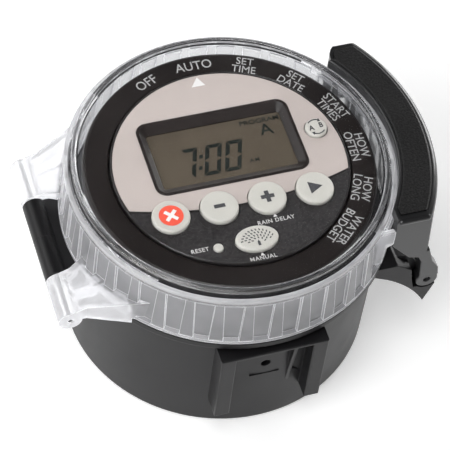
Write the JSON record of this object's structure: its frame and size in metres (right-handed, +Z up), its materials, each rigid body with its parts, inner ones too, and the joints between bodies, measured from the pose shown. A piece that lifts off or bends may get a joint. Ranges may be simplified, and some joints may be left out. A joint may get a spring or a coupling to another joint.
{
  "type": "irrigation controller",
  "caption": "Round battery-run irrigation controller: black bowl with a wall rail, clear hinged lid, curved clasp handle, turning selector dial, display and push buttons.",
  "frame": {"origin": "middle of the bowl's flat foot", "axes": "+Z up through the printed face, +X towards the clasp handle, +Y towards the upper side of the face; the wall rails are on the -Y side"},
  "size_m": [0.1373, 0.1153, 0.0794],
  "materials": {
    "bowl_black": "satin moulded polypropylene",
    "handle_black": "satin moulded plastic",
    "grip_black": "fine spark texture",
    "lid_clear": "clear moulded polycarbonate",
    "pin_steel": "drawn steel",
    "gasket_rubber": "matte",
    "case_black": "satin moulded plastic",
    "dial_black": "semi-gloss moulded plastic",
    "face_black": "semi-gloss moulded plastic",
    "print_beige": "satin printed film",
    "print_charcoal": "satin printed film",
    "ink_light": "printed ink",
    "ink_red": "printed ink",
    "ink_grey": "printed ink",
    "key_ivory": "satin moulded plastic",
    "lcd_frame": "glossy moulded plastic",
    "lcd_olive": "reflective liquid crystal glass",
    "lcd_segment": "dark liquid crystal segments",
    "board_green": "solder mask",
    "contact_brass": "spring brass",
    "chip_black": "epoxy",
    "can_metal": "drawn can",
    "cell_jacket": "plain printed jacket",
    "terminal_green": "moulded plastic",
    "zebra_rubber": "striped elastomer"
  },
  "bodies": {
    "base": {"bowl_housing": "bowl_black", "rim_gasket": "gasket_rubber", "bowl_grommet": "gasket_rubber", "hinge_pin": "pin_steel", "latch_pin": "pin_steel", "module_case": "case_black", "module_grommet": "gasket_rubber", "case_screws": "pin_steel", "module_deck": "case_black", "battery_cover": "case_black", "battery_tray": "case_black", "battery_1": "cell_jacket", "battery_2": "cell_jacket", "battery_contacts": "pin_steel", "battery_springs": "pin_steel", "circuit_board": "board_green", "tact_switches": "chip_black", "main_chip": "chip_black", "storage_capacitor": "can_metal", "quartz_crystal": "can_metal", "lead_terminal": "terminal_green", "face_screws": "pin_steel", "face_plate": "face_black", "face_upper_print": "print_beige", "face_lower_print": "print_charcoal", "lcd_bezel": "lcd_frame", "lcd_glass": "lcd_olive", "zebra_strips": "zebra_rubber", "selector_board": "board_green", "dial_detent": "pin_steel"},
    "lid": {"lid": "lid_clear"},
    "latch": {"latch_handle": "handle_black", "latch_grip_pad": "grip_black"},
    "dial": {"dial_ring": "dial_black", "dial_wiper": "contact_brass"},
    "clear_key": {"button_clear": "key_ivory"},
    "minus_key": {"button_minus": "key_ivory"},
    "plus_key": {"button_plus": "key_ivory"},
    "next_key": {"button_next": "key_ivory"},
    "program_key": {"button_program": "key_ivory"},
    "manual_key": {"button_manual": "key_ivory"},
    "reset_key": {"button_reset": "key_ivory"}
  },
  "joints": [
    {"name": "lid_hinge", "type": "hinge", "parent": "base", "child": "lid", "pos_m": [-0.063, 0.001, 0.0512], "axis": [0, -1, 0], "range_deg": [0, 110]},
    {"name": "latch_hinge", "type": "hinge", "parent": "base", "child": "latch", "pos_m": [0.0622, 0.0005, 0.0393], "axis": [0, 1, 0], "range_deg": [0, 70]},
    {"name": "dial_turn", "type": "hinge", "parent": "base", "child": "dial", "pos_m": [0, 0, 0.07], "axis": [0, 0, 1], "continuous": true},
    {"name": "clear_press", "type": "slide", "parent": "base", "child": "clear_key", "axis": [0, 0, -1], "range_m": [0, 0.0008], "stiffness_N_per_m": 800},
    {"name": "minus_press", "type": "slide", "parent": "base", "child": "minus_key", "axis": [0, 0, -1], "range_m": [0, 0.0008], "stiffness_N_per_m": 800},
    {"name": "plus_press", "type": "slide", "parent": "base", "child": "plus_key", "axis": [0, 0, -1], "range_m": [0, 0.0008], "stiffness_N_per_m": 800},
    {"name": "next_press", "type": "slide", "parent": "base", "child": "next_key", "axis": [0, 0, -1], "range_m": [0, 0.0008], "stiffness_N_per_m": 800},
    {"name": "program_press", "type": "slide", "parent": "base", "child": "program_key", "axis": [0, 0, -1], "range_m": [0, 0.0008], "stiffness_N_per_m": 800},
    {"name": "manual_press", "type": "slide", "parent": "base", "child": "manual_key", "axis": [0, 0, -1], "range_m": [0, 0.0008], "stiffness_N_per_m": 800},
    {"name": "reset_press", "type": "slide", "parent": "base", "child": "reset_key", "axis": [0, 0, -1], "range_m": [0, 0.0008], "stiffness_N_per_m": 800}
  ]
}
